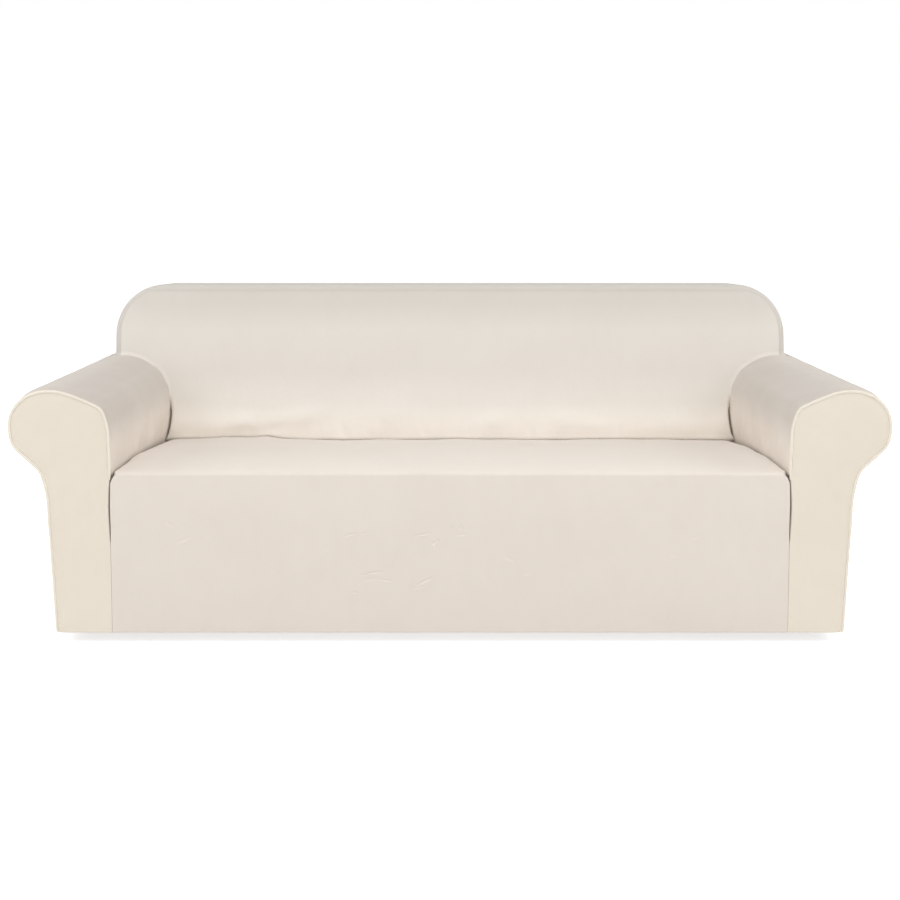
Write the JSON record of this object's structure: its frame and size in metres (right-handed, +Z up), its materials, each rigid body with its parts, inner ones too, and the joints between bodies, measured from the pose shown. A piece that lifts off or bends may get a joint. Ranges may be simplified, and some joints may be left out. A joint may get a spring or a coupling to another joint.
{
  "type": "sofa slipcover",
  "caption": "Fitted stretch slipcover for a rolled-arm sofa: a hollow ivory plush cover with a seat and skirt, inside and outside back, arm panels and welted scroll-shaped arm fronts.",
  "frame": {"origin": "middle of the underside of the seat deck, where the sofa's seat carries the cover", "axes": "+X to the cover's right as seen from in front, along its length; +Y from the front skirt to the back; +Z up"},
  "size_m": [2.2758, 0.9025, 0.8751],
  "materials": {
    "plush_knit": "fine-pile stretch plush, warm ivory, matt with a soft sheen",
    "welt": "the same plush wrapped round a thin cord"
  },
  "bodies": {
    "root": {"seat_panel": "plush_knit", "back_panel": "plush_knit", "rear_panel": "plush_knit", "arm_panel_left": "plush_knit", "arm_panel_right": "plush_knit", "arm_front_left": "plush_knit", "arm_front_right": "plush_knit", "arm_welt_left": "welt", "arm_welt_right": "welt"}
  },
  "joints": []
}
